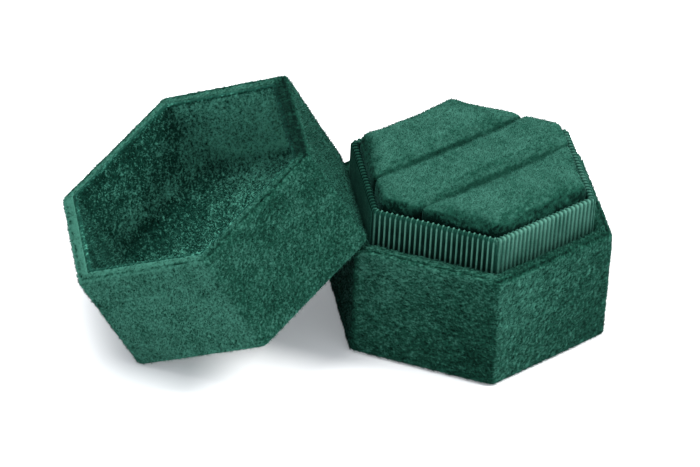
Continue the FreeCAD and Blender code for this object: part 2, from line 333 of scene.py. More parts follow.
shadeMaskGroup = makeShadeMaskGroup()
velvetFinish = {
    "rough": 0.95, "specular": 0.03, "sheenRough": 0.45, "sheenTint": (0.2, 0.8, 0.62, 1),
    "bump": 0.00006, "bumpStrength": 0.6,
}
boardFinish = {"detail": 6.0, "bump": 0.00005, "bumpStrength": 0.4}


def velvet(name, tones, grain=2600.0, spread=1.2, sheen=0.10):
    made, tree = newMaterial(name)
    nap = node(tree, "ShaderNodeGroup", node_tree=shadeMaskGroup, Grain=grain, Spread=spread)
    raised = node(tree, "ShaderNodeBump", Height=nap.outputs["Height"],
                  Strength=velvetFinish["bumpStrength"], Distance=velvetFinish["bump"])
    shader = node(tree, "ShaderNodeBsdfPrincipled", Normal=raised.outputs["Normal"],
                  Base_Color=mixTones(tree, nap.outputs["Mask"], tones),
                  Roughness=velvetFinish["rough"], Specular_IOR_Level=velvetFinish["specular"],
                  Sheen_Weight=sheen, Sheen_Roughness=velvetFinish["sheenRough"],
                  Sheen_Tint=velvetFinish["sheenTint"])
    node(tree, "ShaderNodeOutputMaterial", Surface=shader.outputs["BSDF"])
    return made


def board(name, tones, scale, rough):
    made, tree = newMaterial(name)
    coords = node(tree, "ShaderNodeTexCoord").outputs["Object"]
    fibres = node(tree, "ShaderNodeTexNoise", Vector=coords, Scale=scale, Detail=boardFinish["detail"])
    raised = node(tree, "ShaderNodeBump", Height=fibres.outputs["Fac"],
                  Strength=boardFinish["bumpStrength"], Distance=boardFinish["bump"])
    shader = node(tree, "ShaderNodeBsdfPrincipled", Roughness=rough, Normal=raised.outputs["Normal"],
                  Base_Color=mixTones(tree, fibres.outputs["Fac"], tones))
    node(tree, "ShaderNodeOutputMaterial", Surface=shader.outputs["BSDF"])
    return made


# dark, middle and light of the pile, as it lies away from or towards the light
shellTones = ((0.0005, 0.0070, 0.0045), (0.0060, 0.042, 0.0270), (0.038, 0.140, 0.102))
# the lining's light tone is painted far lighter than the shell's: painted light for the deep, shaded inside
# of the lid
litLiningTones = ((0.0006, 0.0090, 0.0060), (0.0075, 0.055, 0.0375), (0.115, 0.420, 0.310))
padTones = ((0.0005, 0.0075, 0.0048), (0.0080, 0.050, 0.0330), (0.040, 0.135, 0.100))
ribTones = ((0.0004, 0.0060, 0.0040), (0.0070, 0.046, 0.0310), (0.070, 0.190, 0.146))
shellVelvet = velvet("emeraldVelvet", shellTones)
liningVelvet = velvet("liningVelvet", litLiningTones)
padVelvet = velvet("cushionVelvet", padTones, grain=3000.0, spread=0.6)
ribbon = velvet("ribbedFabric", ribTones, grain=3500.0, spread=0.4, sheen=0.15)
greyBoard = board("greyBoard", ((0.30, 0.26, 0.20), (0.48, 0.43, 0.35)), scale=900.0, rough=0.85)
footPaper = board("footPaper", ((0.012, 0.020, 0.017), (0.022, 0.036, 0.031)), scale=1500.0, rough=0.8)
print("materials made")


def newTree(name, sockets):
    tree = bpy.data.node_groups.new(name, "GeometryNodeTree")
    for socket, kind, value in sockets:
        made = tree.interface.new_socket(name=socket, in_out="INPUT", socket_type="NodeSocket" + kind)
        if value is not None:
            made.default_value = value
    tree.interface.new_socket(name="Geometry", in_out="OUTPUT", socket_type="NodeSocketGeometry")
    return tree, tree.nodes.new("NodeGroupInput"), tree.nodes.new("NodeGroupOutput")


def closeTree(tree, placed, finish, out):
    # makes the copies real and gives them their material
    real = node(tree, "GeometryNodeRealizeInstances", Geometry=placed.outputs["Instances"])
    dyed = node(tree, "GeometryNodeSetMaterial", Geometry=real.outputs["Geometry"], Material=finish)
    tree.links.new(dyed.outputs["Geometry"], out.inputs["Geometry"])
    return tree


def runTree(name, tree, values):
    # grows the tree's geometry and hands back a plain mesh
    holder = addObject(name, bpy.data.meshes.new(name))
    change = holder.modifiers.new(name, "NODES")
    change.node_group = tree
    for item in tree.interface.items_tree:
        if item.in_out == "INPUT":
            change[item.identifier] = values[item.name]
    grown = settledMesh(holder)
    bpy.data.objects.remove(holder)
    grown.name = name
    return grown


def makePileTree():
    tree, given, out = newTree("shortPile", (
        ("Cloth", "Object", None), ("Amount", "Float", 1e7), ("Length", "Float", 0.0005),
        ("Thickness", "Float", 0.00006), ("Lean", "Float", 1.5), ("Shade Spread", "Float", 0.2),
        ("Seed", "Int", 1), ("Velvet", "Material", None)))
    cloth = node(tree, "GeometryNodeObjectInfo", Object=given.outputs["Cloth"])
    standing = node(tree, "GeometryNodeInputNamedAttribute", data_type="FLOAT", Name="standing")
    density = calculate(tree, "MULTIPLY", given.outputs["Amount"], standing.outputs["Attribute"])
    roots = node(tree, "GeometryNodeDistributePointsOnFaces", distribute_method="RANDOM",
                 Mesh=cloth.outputs["Geometry"], Seed=given.outputs["Seed"], Density=density)
    # each tuft is a little lighter or darker than the cloth under it
    nap = node(tree, "GeometryNodeInputNamedAttribute", data_type="FLOAT", Name="nap")
    chance = node(tree, "FunctionNodeRandomValue", data_type="FLOAT", Seed=given.outputs["Seed"])
    spread = calculate(tree, "SUBTRACT", chance.outputs["Value"], 0.5)
    shade = calculate(tree, "MULTIPLY_ADD", spread, given.outputs["Shade Spread"], nap.outputs["Attribute"])
    shaded = node(tree, "GeometryNodeStoreNamedAttribute", data_type="FLOAT", domain="POINT", Name="nap",
                  Geometry=roots.outputs["Points"], Value=shade)
    # brushed over by the comb, with a little disorder
    comb = node(tree, "GeometryNodeInputNamedAttribute", data_type="FLOAT_VECTOR", Name="comb")
    stray = node(tree, "FunctionNodeRandomValue", data_type="FLOAT_VECTOR",
                 Min=(-0.5, -0.5, -0.5), Max=(0.5, 0.5, 0.5))
    laid = calculate(tree, "ADD", comb.outputs["Attribute"], stray.outputs["Value"],
                     kind="ShaderNodeVectorMath")
    leaning = node(tree, "ShaderNodeVectorMath", operation="SCALE",
                   Vector=laid, Scale=given.outputs["Lean"])
    upright = calculate(tree, "ADD", leaning.outputs["Vector"], roots.outputs["Normal"],
                        kind="ShaderNodeVectorMath")
    facing = node(tree, "FunctionNodeAlignRotationToVector", axis="Z", Vector=upright)
    # three sides keep a tuft light
    tuft = node(tree, "GeometryNodeMeshCone", Vertices=3, Radius_Top=0.0,
                Radius_Bottom=given.outputs["Thickness"], Depth=given.outputs["Length"])
    placed = node(tree, "GeometryNodeInstanceOnPoints", Points=shaded.outputs["Geometry"],
                  Instance=tuft.outputs["Mesh"], Rotation=facing.outputs["Rotation"])
    return closeTree(tree, placed, given.outputs["Velvet"], out)


pileTree = makePileTree()


def layPile(cloth, name, finish, body, s):
    perSquareMetre = s["perMm"] / mm / mm
    grown = runTree(name, pileTree, {
        "Cloth": cloth, "Amount": perSquareMetre, "Length": s["long"] * mm, "Thickness": s["thin"] * mm,
        "Lean": s["lean"], "Shade Spread": s["shade"], "Seed": s["seed"], "Velvet": finish})
    made = addObject(name, grown)
    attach(made, body)
    print(name, len(grown.polygons), "tuft faces")
    return made


baseVelvetSettings = {
    "corner": 1.5, "rimRound": 0.9, "footRound": 1.2, "tuckRound": 0.5, "tuckGap": 0.2,
    "tuck": 6.0, "turnIn": 5.0, "thick": 0.7, "girth": 165.0, "cut": (165.0, 36.6),
    # spacing of the points: on what shows, in the tuck, on laps, where it turns and out of sight
    "grain": 0.33, "tuckStep": 0.5, "lapStep": 0.7, "turnStep": 0.8, "footStep": 0.6, "hidden": 2.0,
    "perSide": 74, "perCorner": 5,
    "tuftLong": 1.0, "tuftHigh": 0.34, "tuftRise": 0.14, "tuftShade": 0.36,
    "swell": 5.5, "swellRise": 0.08, "swellShade": 0.07, "upright": (5,), "brushed": 1.2, "swirl": 2.5,
    "walls": (0.50, 0.50, 0.50, 0.05, 0.50, 0.58),      # painted light and shade of the six walls, from +X anticlockwise; the wall at 180° is painted in shadow
    # painted shade towards each wall's foot, a painted gradient along it, and painted light and shade on
    # each face of the rim
    "footDark": (0.0, 0.0, 0.0, 0.0, 0.24, 0.14), "cornerTurn": (0.0, 0.0, 0.0, 0.0, 0.13, 0.12),
    "rimFaces": (0.45, 0.5, 0.5, 0.40, 0.66, 0.50),
    "partAt": 0.85, "partDeep": 0.26, "partWide": 0.26, "partDark": 0.70,   # the parting along the rim, with painted shade in its furrow
    "rimFacing": 0.6, "rimDeep": 1.5, "shownTo": 2.0, "underFoot": 0.25, "footPile": 0.15,
}
basePileSettings = {"perMm": 4.1, "long": 0.62, "thin": 0.062, "lean": 1.7, "shade": 0.95}
basePileSeeds = {"baseVelvetPile": 3, "baseVelvetUnderpile": 4}
partingRules = {
    "nearRim": 0.7, "reach": 2.2,                 # how far from the rim's plane and its face it may lie
    "wander": 0.25, "wanderSize": 2.1,            # how it strays
    "open": 0.6, "openMore": 0.9, "openSize": 0.9,   # how it opens and closes along its way
}


def velvetCorner(corner, outer, least=0.05):
    return lambda flat: max(corner - (outer - flat), least)


def reachOf(co):
    # how far out a point lies, as the hexagon through it measures over half its flats
    lean = co.y * math.sqrt(3) / 2
    return max(abs(co.x), abs(co.x / 2 + lean), abs(co.x / 2 - lean))


def parting(co, s, outer, rim):
    # how far a point lies in the uneven furrow where the pile opens as it folds over the rim
    rules = partingRules
    across = outer - reachOf(co)
    if abs(co.z - rim) > rules["nearRim"] or across > rules["reach"]:
        return 0.0
    gap = (across - s["partAt"] - rules["wander"] * noise.noise(co / rules["wanderSize"])) / s["partWide"]
    opened = max(0.0, rules["open"] + rules["openMore"] * noise.noise(co / rules["openSize"]))
    return opened * math.exp(-gap * gap)


def makeBaseVelvet(s):
    outer, rim, thick = boxSizes["outer"], boxSizes["rim"], s["thick"]
    boardOuter = boxSizes["boardOuter"]
    wallIn = boardOuter - boxSizes["wallBoard"]
    tuckIn = boxSizes["collarOuter"] + s["tuckGap"]
    turnedTo = outer - s["turnIn"]
    profile = traceProfile([
        (outer, 0, s["footRound"], s["grain"]),
        (outer, rim, s["rimRound"], s["grain"]),
        (tuckIn, rim, s["tuckRound"], s["tuckStep"]),
        (tuckIn, rim - s["tuck"], 0, s["lapStep"]),
        (wallIn, rim - s["tuck"], 0, s["hidden"]),
        (wallIn, rim - thick, 0, s["turnStep"]),
        (boardOuter, rim - thick, 0, s["hidden"]),
        (boardOuter, thick, 0, s["turnStep"]),
        (turnedTo, thick, 0, s["lapStep"]),
        (turnedTo, 0, 0, s["footStep"]),
    ])
    cornerAt = velvetCorner(s["corner"], outer)
    mesh, around, lengths = sweepHexagon("baseVelvet", profile, cornerAt, s["perSide"], s["perCorner"])

    def lift(co, normal):
        onRim = normal.z > s["rimFacing"] and co.z > rim - s["rimDeep"]
        # painted light and shade, face by face, then painted shade in the parting's furrow
        bright = blendFaces(co, s["rimFaces"] if onRim else s["walls"])
        bright -= s["partDark"] * parting(co, s, outer, rim)
        if not onRim:                # each wall is painted in shade towards its foot and lighter towards the rim, and lighter or darker along its length
            down = blendFaces(co, s["footDark"]) * (co.z / rim - 0.5)
            bright += down - blendFaces(co, s["cornerTurn"]) * alongWall(co)
            if outer - reachOf(co) > s["shownTo"]:
                return 0.0, bright
        return (s["footPile"] if co.z < s["underFoot"] else 1.0), bright

    furrows = [s["partDeep"] * parting(v.co, s, outer, rim) for v in mesh.vertices]
    raisePile(mesh, around, lengths, s, lift)
    for v, deep in zip(mesh.vertices, furrows):
        v.co.z = max(v.co.z - deep, 0.0)
    made = placeMesh(mesh)
    made.data.materials.append(shellVelvet)
    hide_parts("base_velvet_wrap")
    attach(made, "base")
    return made


baseVelvet = makeBaseVelvet(baseVelvetSettings)
basePiles = [layPile(baseVelvet, name, shellVelvet, "base", dict(basePileSettings, seed=seed))
             for name, seed in basePileSeeds.items()]
print("lower shell covered")

lidVelvetSettings = {
    "corner": 1.5, "rimRound": 0.9, "topRound": 1.2,
    "turnIn": 5.0, "thick": 0.7, "girth": 165.0, "cut": (165.0, 29.8),
    "grain": 0.33, "lapStep": 0.7, "turnStep": 0.8, "hidden": 2.0, "perSide": 74, "perCorner": 5,
    "tuftLong": 0.42, "tuftHigh": 0.40, "tuftRise": 0.12, "tuftShade": 0.32,
    "swell": 4.5, "swellRise": 0.08, "swellShade": 0.09, "brushed": 0.3, "swirl": 1.6,
    # painted light and shade of the six walls and of the rim's faces; the rim's face at 180° is painted in
    # shade, and rimFade paints it lighter towards its outer edge
    "walls": (0.50, 0.5, 0.5, 0.41, 0.54, 0.76),
    "rimFaces": (1.10, 0.85, 0.75, 0.05, 0.62, 0.92), "rimFade": (0.0, 0.0, 0.0, 0.25, 0.0, 0.0),
    "partAt": 0.80, "partDeep": 0.28, "partWide": 0.24, "partDark": 0.80,
    "rimFacing": 0.6, "rimDeep": 1.5, "fadeWide": 1.8, "shownTo": 2.0, "innerRimPile": 0.9,
    "topDeep": 0.4, "topPile": 0.5,
}
lidPileSettings = {"perMm": 6.0, "long": 0.46, "thin": 0.060, "lean": 1.0, "shade": 0.85, "seed": 5}


def makeLidVelvet(s):
    outer, top, thick = boxSizes["outer"], boxSizes["lidHeight"], s["thick"]
    boardOuter = boxSizes["boardOuter"]
    wallIn = boardOuter - boxSizes["wallBoard"]
    turnedTo = outer - s["turnIn"]
    profile = traceProfile([
        (outer, 0, s["rimRound"], s["grain"]),
        (outer, top, s["topRound"], s["grain"]),
        (turnedTo, top, 0, s["lapStep"]),
        (turnedTo, top - thick, 0, s["turnStep"]),
        (boardOuter, top - thick, 0, s["hidden"]),
        (boardOuter, thick, 0, s["turnStep"]),
        (wallIn, thick, 0, s["lapStep"]),
        (wallIn, 0, 0, s["grain"]),
    ])
    cornerAt = velvetCorner(s["corner"], outer)
    mesh, around, lengths = sweepHexagon("lidVelvet", profile, cornerAt, s["perSide"], s["perCorner"])

    def lift(co, normal):
        depth = outer - reachOf(co)
        onRim = normal.z < -s["rimFacing"] and co.z < s["rimDeep"]
        # painted light and shade, face by face, then painted shade in the parting's furrow
        bright = blendFaces(co, s["rimFaces"] if onRim else s["walls"])
        bright -= s["partDark"] * parting(co, s, outer, 0)
        if onRim:
            # painted light towards the outer edge of the rim's face
            bright += blendFaces(co, s["rimFade"]) * max(0.0, 1 - depth / s["fadeWide"])
            return (s["innerRimPile"] if depth > s["shownTo"] else 1.0), bright
        if co.z > top - s["topDeep"]:
            return s["topPile"], bright
        return (0.0 if depth > s["shownTo"] else 1.0), bright

    furrows = [s["partDeep"] * parting(v.co, s, outer, 0) for v in mesh.vertices]
    raisePile(mesh, around, lengths, s, lift)
    for v, deep in zip(mesh.vertices, furrows):
        v.co.z += deep
    made = placeMesh(mesh, lidPlace)
    made.data.materials.append(shellVelvet)
    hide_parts("lid_velvet_wrap")
    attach(made, "lid")
    return made


liningSettings = {
    "flat": 20.9, "foot": 3.2, "ceiling": 18.7, "lip": 0.05, "lipRound": 0.25, "corner": 1.0,
    "thick": 0.55, "above": 0.6, "hole": 0.2, "girth": 145.0, "hub": 0.50,
    "cut": (79.2, 79.2, 4220.0),      # a hexagon with six flaps: across its flats, and its area
    "grain": 0.45, "lipStep": 0.3, "hidden": 1.5, "perSide": 50, "perCorner": 4,
    "tuftLong": 0.42, "tuftHigh": 0.42, "tuftRise": 0.11, "tuftShade": 0.34,
    "swell": 4.0, "swellRise": 0.10, "swellShade": 0.08, "brushed": 0.2, "swirl": 1.6,
    # painted light and shade inside the lid: the walls, near the rim, deep in, the middle of the ceiling,
    # the bends into it and the lip, set to even out the light in the hollow
    "walls": (0.36, 0.60, 0.86, 0.66, 0.55, 0.45), "wallBlend": 4.0, "middle": 0.525,
    "nearRim": (-0.08, -0.26, -0.14, 0.0, 0.0, 0.0), "nearRimHigh": 12.0,
    "deepIn": (0.10, 0.12, 0.06, 0.0, 0.0, 0.0), "deepFrom": 1.1, "deepPer": 9.0,
    "bends": (0.50, 0.43, 0.70, 0.62, 0.40, 0.40), "bendBlend": 9.0,
    "bendHigh": 4.5, "bendSoft": 2.0, "bendFrom": 11.0, "bendWide": 6.0,
    "lips": (0.43, 0.37, 0.37, 0.06, 0.38, 0.41), "lipFull": 1.5, "lipFall": 2.0,
    "bead": 0.22, "beadHigh": 1.6, "beadDeep": 0.3,
}
liningPileSettings = {"perMm": 9.5, "long": 0.50, "thin": 0.062, "lean": 1.0, "shade": 0.80, "seed": 7}


def makeLidLining(s):
    inner, deep = s["flat"], s["ceiling"]
    back, above = inner + s["thick"], deep + s["above"]
    profile = traceProfile([
        (s["hole"], deep, 0, s["grain"]),
        (inner, deep, s["foot"], s["grain"]),
        (inner, s["lip"], s["lipRound"], s["lipStep"]),
        (back, s["lip"], 0, s["hidden"]),
        (back, above, 0, s["hidden"]),
        (s["hole"], above, 0, s["hidden"]),
    ], closed=False)

    def cornerAt(flat):
        return max(s["corner"] - max(flat - inner, 0), 0.05)
    mesh, around, lengths = sweepHexagon("lidLining", profile, cornerAt,
                                         s["perSide"], s["perCorner"], capped=True)

    def lift(co, normal):
        reach = reachOf(co)
        shown = reach < inner + 0.1 and 0.1 < co.z < deep + 0.1
        bright = s["middle"]
        # painted light and shade, wall by wall, changing near the rim and deep in
        if co.z < deep - 1.0:
            nearRim = max(0.0, 1 - co.z / s["nearRimHigh"])
            deepIn = max(0.0, co.z / s["deepPer"] - s["deepFrom"])
            bright = (blendFaces(co, s["walls"], s["wallBlend"])
                      + blendFaces(co, s["nearRim"], s["wallBlend"]) * nearRim
                      + blendFaces(co, s["deepIn"], s["wallBlend"]) * deepIn)
        # the bend into the ceiling gets its own painted light and shade, and so does the lip at the rim
        bend = clamp((co.z - deep + s["bendHigh"]) / s["bendSoft"])
        bend *= clamp((reach - s["bendFrom"]) / s["bendWide"])
        bright += (blendFaces(co, s["bends"], s["bendBlend"]) - bright) * bend
        bright += (blendFaces(co, s["lips"]) - bright) * clamp(s["lipFull"] - co.z * s["lipFall"])
        return (1.0 if shown else 0.0), bright

    raisePile(mesh, around, lengths, s, lift)
    for v in mesh.vertices:                       # a soft bead where the lining rolls over the rim
        reach = reachOf(v.co)
        if v.co.z < s["beadHigh"] and reach < inner + s["beadDeep"]:
            inward = 1 - s["bead"] * (1 - v.co.z / s["beadHigh"]) / reach
            v.co.x *= inward
            v.co.y *= inward
    made = placeMesh(mesh, lidPlace)
    made.data.materials.append(liningVelvet)
    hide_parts("lid_wall_lining", "lid_ceiling_lining")
    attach(made, "lid")
    return made


topPanelSettings = {
    "flat": 18.75, "edge": 0.45, "corner": 0.6, "hole": 0.2, "girth": 125.0, "thick": 0.7, "hub": 0.5,
    "grain": 0.45, "edgeStep": 0.3, "hidden": 2.0, "perSide": 46, "perCorner": 4,
    "cut": (37.5, 43.3, 1218.0),      # a hexagon: across flats, across corners, and its area
    "tuftLong": 0.42, "tuftHigh": 0.42, "tuftRise": 0.09, "tuftShade": 0.26,
    "swell": 4.5, "swellRise": 0.1, "swellShade": 0.16, "brushed": 0.3, "swirl": 1.6,
    "nap": 0.5, "pile": 0.6,
}


def makeTopPanel(s):
    top = boxSizes["lidHeight"]
    under = top - s["thick"]
    profile = traceProfile([
        (s["hole"], top, 0, s["grain"]),
        (s["flat"], top, s["edge"], s["edgeStep"]),
        (s["flat"], under, 0, s["hidden"]),
        (s["hole"], under, 0, s["hidden"]),
    ], closed=False)
    mesh, around, lengths = sweepHexagon("lidTopPanel", profile, lambda flat: s["corner"],
                                         s["perSide"], s["perCorner"], capped=True)

    def lift(co, normal):
        return (s["pile"] if co.z > top - 0.1 else 0.0), s["nap"]

    raisePile(mesh, around, lengths, s, lift)
    made = placeMesh(mesh, lidPlace)
    made.data.materials.append(shellVelvet)
    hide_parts("lid_top_velvet")
    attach(made, "lid")
    return made


lidVelvet = makeLidVelvet(lidVelvetSettings)
lidPile = layPile(lidVelvet, "lidVelvetPile", shellVelvet, "lid", lidPileSettings)
lidLining = makeLidLining(liningSettings)
liningPile = layPile(lidLining, "lidLiningPile", liningVelvet, "lid", liningPileSettings)
lidTopPanel = makeTopPanel(topPanelSettings)
print("lid covered and lined")

ribSettings = {
    "ribs": 144, "ribWide": 0.44, "ribHigh": 0.24, "crest": 0.02, "corner": 1.3, "cut": (142.7, 37.2),
    "thick": 1.4, "topRound": 0.52, "innerRound": 0.35, "innerRise": 0.8, "innerDepth": 6.0,
    "footGap": 0.05, "bendStep": 0.25, "straightStep": 6.0,
    # the smooth cloth under the ribs
    "base": 0.28, "baseRound": 0.35, "baseThick": 0.1, "topThick": 0.2, "baseStep": 3.0, "topStep": 1.5,
    "perSide": 12, "perCorner": 5,
    # painted light and shade of the crests and of the gaps, wall by wall, and painted light on the top
    "ridges": (0.7, 0.7, 0.7, 0.55, 0.98, 0.62), "gaps": (0.4, 0.4, 0.4, 0.0, 0.0, 0.76),
    "gapTop": 0.30, "gapTopHigh": 0.9, "ridgeDeep": 0.28,
}
cardSettings = {
    "flat": 20.0, "thick": 0.35, "drop": 0.62, "edge": 0.12, "corner": 1.0, "step": 6.0,
    "perSide": 2, "perCorner": 5,
}


def makeRibTree():
    tree, given, out = newTree("collarRibs", (
        ("Ribs", "Int", 144), ("Flat", "Float", 0.02), ("Corner", "Float", 0.001),
        ("Rib Width", "Float", 0.0005), ("Rib Height", "Float", 0.0003),
        ("Rib Line", "Object", None), ("Fabric", "Material", None)))
    # the line round the collar: a hexagon with rounded corners
    tip = calculate(tree, "MULTIPLY", given.outputs["Flat"], 2 / math.sqrt(3))
    hexagon = node(tree, "GeometryNodeCurvePrimitiveCircle", Resolution=6, Radius=tip)
    turned = node(tree, "GeometryNodeTransform", Geometry=hexagon.outputs["Curve"],
                  Rotation=(0, 0, math.radians(30)))
    rounded = node(tree, "GeometryNodeFilletCurve", mode="POLY", Count=6,
                   Curve=turned.outputs["Geometry"], Radius=given.outputs["Corner"])
    spaced = node(tree, "GeometryNodeCurveToPoints",
                  Curve=rounded.outputs["Curve"], Count=given.outputs["Ribs"])
    # one rib: a low round cord that goes up the face, over the top and down inside
    path = node(tree, "GeometryNodeObjectInfo", Object=given.outputs["Rib Line"])
    circle = node(tree, "GeometryNodeCurvePrimitiveCircle", Resolution=8, Radius=0.5)
    doubled = calculate(tree, "MULTIPLY", given.outputs["Rib Height"], 2.0)
    squeeze = node(tree, "ShaderNodeCombineXYZ", X=doubled, Y=given.outputs["Rib Width"], Z=1.0)
    flatten = node(tree, "GeometryNodeTransform",
                   Geometry=circle.outputs["Curve"], Scale=squeeze.outputs["Vector"])
    rib = node(tree, "GeometryNodeCurveToMesh", Fill_Caps=True, Curve=path.outputs["Geometry"],
               Profile_Curve=flatten.outputs["Geometry"])
    facing = node(tree, "FunctionNodeAlignRotationToVector", axis="Y", pivot_axis="Z",
                  Vector=spaced.outputs["Tangent"])
    placed = node(tree, "GeometryNodeInstanceOnPoints", Points=spaced.outputs["Points"],
                  Instance=rib.outputs["Mesh"], Rotation=facing.outputs["Rotation"])
    return closeTree(tree, placed, given.outputs["Fabric"], out)


def makeRibLine(s, ridge):
    # the line that each rib follows, from the foot up the face, over the top and down inside
    crown = boxSizes["collarTop"] + s["crest"] - s["ribHigh"]
    insideRidge = boxSizes["collarOuter"] - s["thick"] + s["ribHigh"] * s["innerRise"]
    path = traceProfile([
        (ridge, boxSizes["collarFoot"] + s["footGap"], 0, s["straightStep"]),
        (ridge, crown, s["topRound"], s["bendStep"]),
        (insideRidge, crown, s["innerRound"], s["bendStep"]),
        (insideRidge, boxSizes["collarTop"] - s["innerDepth"], 0, s["straightStep"]),
    ], closed=False)
    line = bpy.data.curves.new("ribLine", "CURVE")
    line.dimensions = "3D"
    strand = line.splines.new("POLY")
    strand.points.add(len(path) - 1)
    for point, p in zip(strand.points, path):
        point.co = ((p.x - ridge) * mm, 0, p.y * mm, 1)
    return addObject("ribLine", line)


def ribShades(points, ridged, s):
    # painted highlight along the crest of each rib, painted shade down its sides and between the ribs
    top = boxSizes["collarTop"] + s["crest"]
    perRib = ridged // s["ribs"]
    places = [v.co / mm for v in points]
    shades = []
    for first in range(0, ridged, perRib):
        rib = places[first:first + perRib]
        crest = max(reachOf(co) for co in rib)
        for co in rib:
            share = clamp(1 + max(reachOf(co) - crest, co.z - top) / s["ridgeDeep"])
            gap = blendFaces(co, s["gaps"])
            shades.append(gap + (blendFaces(co, s["ridges"]) - gap) * share)
    # the smooth cloth between the ribs, painted lighter along the top
    for co in places[ridged:]:
        shades.append(blendFaces(co, s["gaps"]) + (s["gapTop"] if co.z > top - s["gapTopHigh"] else 0.0))
    return shades


def makeCollar(s):
    outer = boxSizes["collarOuter"] - s["base"]
    inner = boxSizes["collarOuter"] - s["thick"] + s["baseThick"]
    top, foot, thin = boxSizes["collarTop"] - s["base"], boxSizes["collarFoot"], s["baseThick"]
    under = top - s["topThick"]
    # smooth cloth between the ribs
    profile = traceProfile([
        (outer, foot, 0, s["baseStep"]),
        (outer, top, s["baseRound"], s["topStep"]),
        (inner, top, s["baseRound"], s["baseStep"]),
        (inner, foot, 0, s["baseStep"]),
        (inner + thin, foot, 0, s["baseStep"]),
        (inner + thin, under, 0, s["baseStep"]),
        (outer - thin, under, 0, s["baseStep"]),
        (outer - thin, foot, 0, s["baseStep"]),
    ])
    cornerAt = velvetCorner(s["corner"], outer, 0.3)
    cloth = sweepHexagon("collarCloth", profile, cornerAt, s["perSide"], s["perCorner"])[0]
    cloth.transform(Matrix.Scale(mm, 4))
    ridge = boxSizes["collarOuter"] + s["crest"] - s["ribHigh"]
    line = makeRibLine(s, ridge)
    ribs = runTree("collarRibs", makeRibTree(), {
        "Ribs": s["ribs"], "Flat": ridge * mm, "Corner": s["corner"] * mm, "Rib Width": s["ribWide"] * mm,
        "Rib Height": s["ribHigh"] * mm, "Rib Line": line, "Fabric": ribbon})
    bpy.data.objects.remove(line)
    work = bmesh.new()
    work.from_mesh(ribs)
    ridged = len(ribs.vertices)
    work.from_mesh(cloth)
    bmesh.ops.recalc_face_normals(work, faces=work.faces[:])
    whole = bpy.data.meshes.new("collarRibbing")
    work.to_mesh(whole)
    work.free()
    whole.polygons.foreach_set("use_smooth", [True] * len(whole.polygons))
    shade = whole.attributes.new("nap", "FLOAT", "POINT")
    shade.data.foreach_set("value", ribShades(whole.vertices, ridged, s))
    whole.materials.clear()
    whole.materials.append(ribbon)
    made = addObject("collarRibbing", whole)
    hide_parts("collar_ribbed_fabric")
    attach(made, "base")
    return made


def makeCollarCard(s):
    # stiff card inside the ribbed fabric, with its corners eased so that the cloth lies smooth
    outer, top, foot = s["flat"], boxSizes["collarTop"] - s["drop"], boxSizes["collarFoot"]
    inner = outer - s["thick"]
    profile = traceProfile([
        (outer, foot, 0, s["step"]),
        (outer, top, s["edge"], s["step"]),
        (inner, top, s["edge"], s["step"]),
        (inner, foot, 0, s["step"]),
    ])
    mesh = sweepHexagon("collarCard", profile, lambda flat: s["corner"], s["perSide"], s["perCorner"])[0]
    made = placeMesh(mesh)
    made.data.materials.append(greyBoard)
    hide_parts("collar_board")
    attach(made, "base")
    return made


collarRibbing = makeCollar(ribSettings)
collarCard = makeCollarCard(cardSettings)
print("collar ribbed,", len(collarRibbing.data.polygons), "faces")

cushionSettings = {
    "slot": 6.1, "slack": 0.10, "gap": 0.04, "topDrop": 0.30,
    "corner": 0.7, "cornerCuts": 4, "edge": 1.1, "edgeCuts": 3, "voxel": 0.80,
    # the swelling, done at a larger scale where the cloth moves more steadily
    "simScale": 12.0, "frames": 16, "pressure": 3.0, "cap": 0.6, "pinBelow": 21.0, "pinFade": 4.0,
    "quality": 5, "mass": 0.3, "stretch": 15, "shear": 5, "bend": 0.5,
    # the cloth's tufts, and the painted shade over its edges and into the slots
    "tuftSize": (0.8, 0.45, 0.5), "tuftRise": 0.06, "swell": 4.5, "swellRise": 0.14, "swirl": 1.8,
    "nap": 0.70, "tuftShade": 0.20, "edgeTuft": 0.5, "swellShade": 0.08, "shownDeep": 4, "leastPile": 0.2,
    "edgeDark": 0.78, "edgeFall": 1.1, "slotDark": 0.75, "slotFall": 1.8, "slotNear": 2.0,
}
padPileSettings = {"perMm": 11.0, "long": 0.36, "thin": 0.055, "lean": 1.0, "shade": 0.62, "seed": 11}


def cushionOutline(kind, s):
    flat, slot = boxSizes["padFlat"] - s["slack"] * 0.5, s["slot"]
    tip, side = flat * 2 / math.sqrt(3), lambda y: (2 * flat - abs(y)) / math.sqrt(3)
    if kind == "middle":
        near = slot - s["slack"]
        east = side(near)
        return [(tip, 0), (east, near), (-east, near), (-tip, 0), (-east, -near), (east, -near)]
    far, sign = slot + s["slack"], (1 if kind == "rear" else -1)
    points = [(side(flat), flat), (-side(flat), flat), (-side(far), far), (side(far), far)]
    return [(x, y * sign) for x, y in points]


